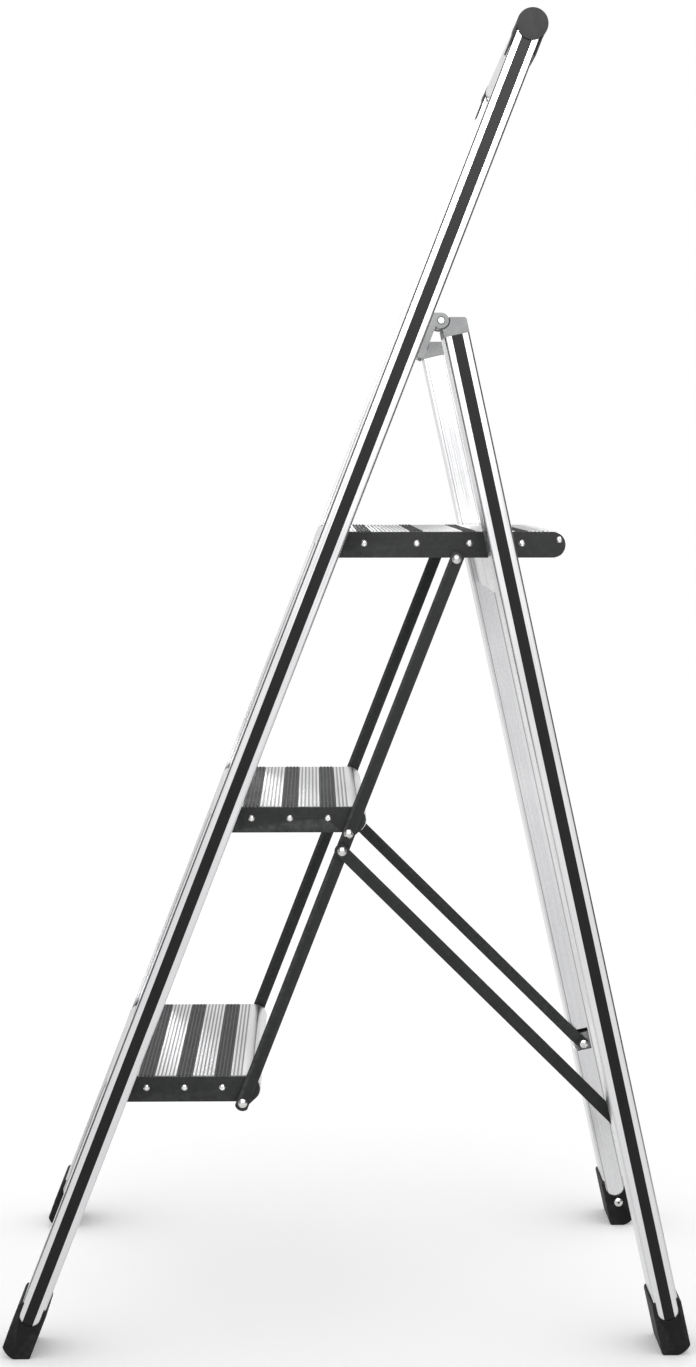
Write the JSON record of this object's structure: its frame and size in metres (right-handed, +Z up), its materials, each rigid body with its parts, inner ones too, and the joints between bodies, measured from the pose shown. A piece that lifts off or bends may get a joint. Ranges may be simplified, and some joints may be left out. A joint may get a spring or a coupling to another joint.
{
  "type": "step stool",
  "caption": "Folding household step stool: tubular side rails, ribbed hinged steps, rear legs, coupled link bars and struts, and a bow handle.",
  "frame": {"origin": "on the floor under the middle of the open stool", "axes": "+X to the user's right, +Y to the rear, +Z up; the user climbs from the front, the -Y side"},
  "size_m": [0.44, 0.6618, 1.2705],
  "materials": {
    "anodised_profile": "satin anodised",
    "side_plate": "powder coated, fine texture",
    "ribbed_aluminium": "satin anodised, ribbed",
    "handle_tube": "satin anodised",
    "flat_bar": "powder coated, fine texture",
    "grey_casting": "die-cast, grey enamel",
    "black_strip": "fine texture",
    "black_plastic": "moulded, satin",
    "grey_plastic": "moulded",
    "black_rubber": "matt, moulded",
    "dark_inlay": "matt, ribbed",
    "steel_rivet": "zinc plated",
    "steel_screw": "bright plated"
  },
  "bodies": {
    "front_frame": {"front_rail_right": "anodised_profile", "front_rail_left": "anodised_profile", "front_strip_right": "black_strip", "front_strip_left": "black_strip", "handle_tube": "handle_tube", "handle_end_right": "black_plastic", "handle_end_left": "black_plastic", "front_foot_right": "black_rubber", "front_foot_left": "black_rubber", "front_foot_rivets": "steel_rivet", "hinge_bracket_right": "grey_casting", "hinge_bracket_left": "grey_casting", "bracket_rivets": "steel_rivet", "hinge_pins": "steel_rivet", "pivot_blocks": "black_plastic", "pivot_pins": "steel_rivet", "pivot_bushes": "grey_plastic"},
    "rear_frame": {"rear_leg_right": "anodised_profile", "rear_leg_left": "anodised_profile", "rear_strip_right": "black_strip", "rear_strip_left": "black_strip", "rear_foot_right": "black_rubber", "rear_foot_left": "black_rubber", "rear_foot_rivets": "steel_rivet", "leg_cap_right": "grey_casting", "leg_cap_left": "grey_casting", "crossbar": "anodised_profile", "crossbar_rivets": "steel_rivet", "strut_blocks": "black_plastic", "strut_pins": "steel_rivet"},
    "platform": {"platform_side_right": "side_plate", "platform_side_left": "side_plate", "platform_tread": "ribbed_aluminium", "platform_inlays": "dark_inlay", "platform_screws": "steel_screw"},
    "middle_step": {"middle_side_right": "side_plate", "middle_side_left": "side_plate", "middle_tread": "ribbed_aluminium", "middle_inlays": "dark_inlay", "middle_screws": "steel_screw"},
    "lower_step": {"lower_side_right": "side_plate", "lower_side_left": "side_plate", "lower_tread": "ribbed_aluminium", "lower_inlays": "dark_inlay", "lower_screws": "steel_screw"},
    "right_link": {"link_bar_right": "flat_bar", "link_rivets_right": "steel_rivet", "link_washers_right": "grey_plastic"},
    "left_link": {"link_bar_left": "flat_bar", "link_rivets_left": "steel_rivet", "link_washers_left": "grey_plastic"},
    "right_strut": {"strut_right": "flat_bar", "strut_rivet_right": "steel_rivet", "strut_spacer_right": "grey_plastic"},
    "left_strut": {"strut_left": "flat_bar", "strut_rivet_left": "steel_rivet", "strut_spacer_left": "grey_plastic"}
  },
  "joints": [
    {"name": "rear_hinge", "type": "hinge", "parent": "front_frame", "child": "rear_frame", "pos_m": [0, 0.08681, 0.98756], "axis": [-1, 0, 0], "range_deg": [0, 33.86]},
    {"name": "platform_pivot", "type": "hinge", "parent": "front_frame", "child": "platform", "pos_m": [0, -0.01638, 0.7796], "axis": [1, 0, 0], "range_deg": [0, 68.7]},
    {"name": "middle_step_pivot", "type": "hinge", "parent": "front_frame", "child": "middle_step", "pos_m": [0, -0.12025, 0.5132], "axis": [1, 0, 0], "range_deg": [0, 68.7]},
    {"name": "lower_step_pivot", "type": "hinge", "parent": "front_frame", "child": "lower_step", "pos_m": [0, -0.22411, 0.2468], "axis": [1, 0, 0], "range_deg": [0, 68.7]},
    {"name": "right_link_pivot", "type": "hinge", "parent": "platform", "child": "right_link", "pos_m": [0.15625, 0.10612, 0.7651], "axis": [1, 0, 0], "range_deg": [-68.7, 0]},
    {"name": "right_strut_pivot", "type": "hinge", "parent": "rear_frame", "child": "right_strut", "pos_m": [0.16805, 0.27235, 0.20766], "axis": [1, 0, 0], "range_deg": [-30.05, 0]},
    {"name": "left_link_pivot", "type": "hinge", "parent": "platform", "child": "left_link", "pos_m": [-0.15625, 0.10612, 0.7651], "axis": [1, 0, 0], "range_deg": [-68.7, 0]},
    {"name": "left_strut_pivot", "type": "hinge", "parent": "rear_frame", "child": "left_strut", "pos_m": [-0.16805, 0.27235, 0.20766], "axis": [1, 0, 0], "range_deg": [-30.05, 0]}
  ],
  "couplings": [
    {"joint": "platform_pivot", "follows": "rear_hinge", "ratio": 2.0289},
    {"joint": "middle_step_pivot", "follows": "rear_hinge", "ratio": 2.0289},
    {"joint": "lower_step_pivot", "follows": "rear_hinge", "ratio": 2.0289},
    {"joint": "right_link_pivot", "follows": "rear_hinge", "ratio": -2.0289},
    {"joint": "right_strut_pivot", "follows": "rear_hinge", "ratio": -0.88728},
    {"joint": "left_link_pivot", "follows": "rear_hinge", "ratio": -2.0289},
    {"joint": "left_strut_pivot", "follows": "rear_hinge", "ratio": -0.88728}
  ]
}
